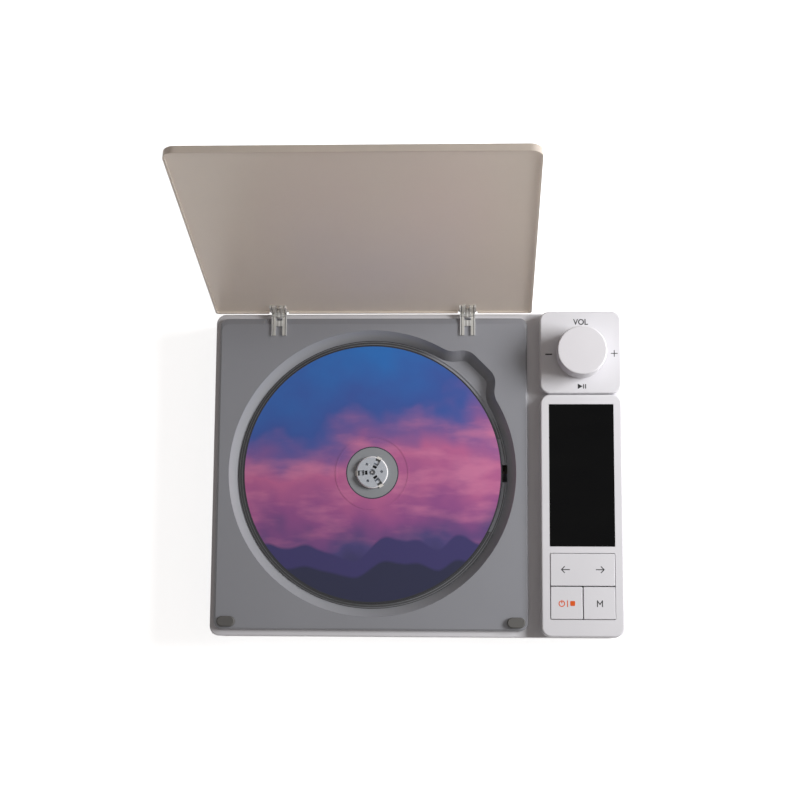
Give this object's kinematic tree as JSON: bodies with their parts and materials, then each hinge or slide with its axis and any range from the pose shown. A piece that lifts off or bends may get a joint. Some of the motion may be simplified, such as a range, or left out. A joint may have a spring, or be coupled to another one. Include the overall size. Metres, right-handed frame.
{
  "type": "wall mounted cd player",
  "caption": "Flat square-deck disc player with a hinged lid, a raised control strip with knob, screen and keys, and keyholes for hanging it on a wall.",
  "frame": {"origin": "centre of the rear cover's outer face, the face that lies against the wall", "axes": "+Z out of the wall towards the user, +Y up the wall towards the lid hinge, +X to the right along the body"},
  "size_m": [0.1884, 0.1856, 0.1683],
  "materials": {
    "casing": "fine satin moulding",
    "deck": "fine satin moulding",
    "lid": "smooth smoked moulding",
    "clear_plastic": "clear moulded plastic",
    "screen": "polished black",
    "disc": "printed and lacquered",
    "hub": "satin",
    "dark_plastic": "satin",
    "steel": "plated",
    "rubber": "matt",
    "bumper": "matt",
    "gear": "natural acetal",
    "circuit": "green solder mask",
    "battery": "shrink sleeve",
    "lens": "polished",
    "ribbon": "flat cable film"
  },
  "bodies": {
    "case": {"audio_jack": "dark_plastic", "battery": "battery", "battery_lead": "ribbon", "board_parts": "dark_plastic", "board_ribbon": "ribbon", "board_screws": "steel", "chassis_dampers": "rubber", "control_board": "circuit", "cover_screws": "steel", "damper_screws": "steel", "deck": "deck", "deck_screws": "steel", "display_module": "dark_plastic", "display_panel": "casing", "display_ribbon": "ribbon", "encoder_body": "dark_plastic", "front_frame": "casing", "gear_post": "steel", "guide_rods": "steel", "hinge_pins": "steel", "knob_panel": "casing", "left_hinge_clip": "clear_plastic", "lid_bumpers": "bumper", "main_board": "circuit", "mechanism_chassis": "steel", "mechanism_cover": "deck", "panel_screws": "steel", "rear_cover": "casing", "right_hinge_clip": "clear_plastic", "rocker_pivot": "dark_plastic", "rod_holders": "dark_plastic", "rubber_feet": "rubber", "screen_glass": "screen", "sled_motor": "steel", "spindle_motor": "steel", "tact_switches": "dark_plastic", "usb_socket": "steel"},
    "lid": {"lid": "lid", "left_hinge_leaf": "clear_plastic", "right_hinge_leaf": "clear_plastic"},
    "spindle": {"spindle_shaft": "steel", "turntable": "hub", "turntable_pad": "rubber", "hub_cap": "hub", "disc": "disc"},
    "claw_1": {"hub_claw_1": "gear"},
    "claw_2": {"hub_claw_2": "gear"},
    "claw_3": {"hub_claw_3": "gear"},
    "sled": {"pickup_sled": "dark_plastic", "sled_rack": "gear"},
    "lens": {"pickup_lens": "lens"},
    "step_gear": {"sled_gear": "gear"},
    "motor_gear": {"motor_pinion": "gear"},
    "encoder": {"encoder_rotor": "dark_plastic"},
    "knob": {"volume_knob": "casing", "encoder_shaft": "steel"},
    "track_key": {"track_rocker": "casing"},
    "power_key": {"power_button": "casing"},
    "mode_key": {"mode_button": "casing"}
  },
  "joints": [
    {"name": "lid_hinge", "type": "hinge", "parent": "case", "child": "lid", "pos_m": [-0.0204, 0.0738, 0.02385], "axis": [1, 0, 0], "range_deg": [0, 103]},
    {"name": "spindle_turn", "type": "hinge", "parent": "case", "child": "spindle", "pos_m": [-0.0204, 0.0003, 0], "axis": [0, 0, 1], "continuous": true},
    {"name": "claw_1_slide", "type": "slide", "parent": "spindle", "child": "claw_1", "axis": [0.4384, 0.8988, 0], "range_m": [-0.0006, 0], "stiffness_N_per_m": 200, "springref_m": 0.0005},
    {"name": "claw_2_slide", "type": "slide", "parent": "spindle", "child": "claw_2", "axis": [-0.9976, -0.0698, 0], "range_m": [-0.0006, 0], "stiffness_N_per_m": 200, "springref_m": 0.0005},
    {"name": "claw_3_slide", "type": "slide", "parent": "spindle", "child": "claw_3", "axis": [0.5592, -0.829, 0], "range_m": [-0.0006, 0], "stiffness_N_per_m": 200, "springref_m": 0.0005},
    {"name": "sled_slide", "type": "slide", "parent": "case", "child": "sled", "axis": [1, 0, 0], "range_m": [0, 0.034]},
    {"name": "lens_focus", "type": "slide", "parent": "sled", "child": "lens", "axis": [0, 0, 1], "range_m": [-0.0003, 0.0003], "stiffness_N_per_m": 80},
    {"name": "step_gear_turn", "type": "hinge", "parent": "case", "child": "step_gear", "pos_m": [0.0116, -0.0252, 0], "axis": [0, 0, 1], "range_deg": [-433.5, 0]},
    {"name": "motor_gear_turn", "type": "hinge", "parent": "case", "child": "motor_gear", "pos_m": [0.0011, -0.0252, 0], "axis": [0, 0, 1], "range_deg": [0, 867]},
    {"name": "knob_turn", "type": "hinge", "parent": "case", "child": "encoder", "pos_m": [0.0755, 0.0542, 0], "axis": [0, 0, 1], "continuous": true},
    {"name": "knob_press", "type": "slide", "parent": "encoder", "child": "knob", "axis": [0, 0, 1], "range_m": [-0.0005, 0], "stiffness_N_per_m": 1500, "springref_m": 0.0005},
    {"name": "track_rock", "type": "hinge", "parent": "case", "child": "track_key", "pos_m": [0.0755, -0.04435, 0.0217], "axis": [0, 1, 0], "range_deg": [-1.5, 1.5], "stiffness_Nm_per_rad": 0.6},
    {"name": "power_press", "type": "slide", "parent": "case", "child": "power_key", "axis": [0, 0, 1], "range_m": [-0.0003, 0], "stiffness_N_per_m": 500, "springref_m": 0.0003},
    {"name": "mode_press", "type": "slide", "parent": "case", "child": "mode_key", "axis": [0, 0, 1], "range_m": [-0.0003, 0], "stiffness_N_per_m": 500, "springref_m": 0.0003}
  ],
  "couplings": [
    {"joint": "step_gear_turn", "follows": "sled_slide", "rad_per_m": -222.22},
    {"joint": "motor_gear_turn", "follows": "sled_slide", "rad_per_m": 444.44}
  ]
}
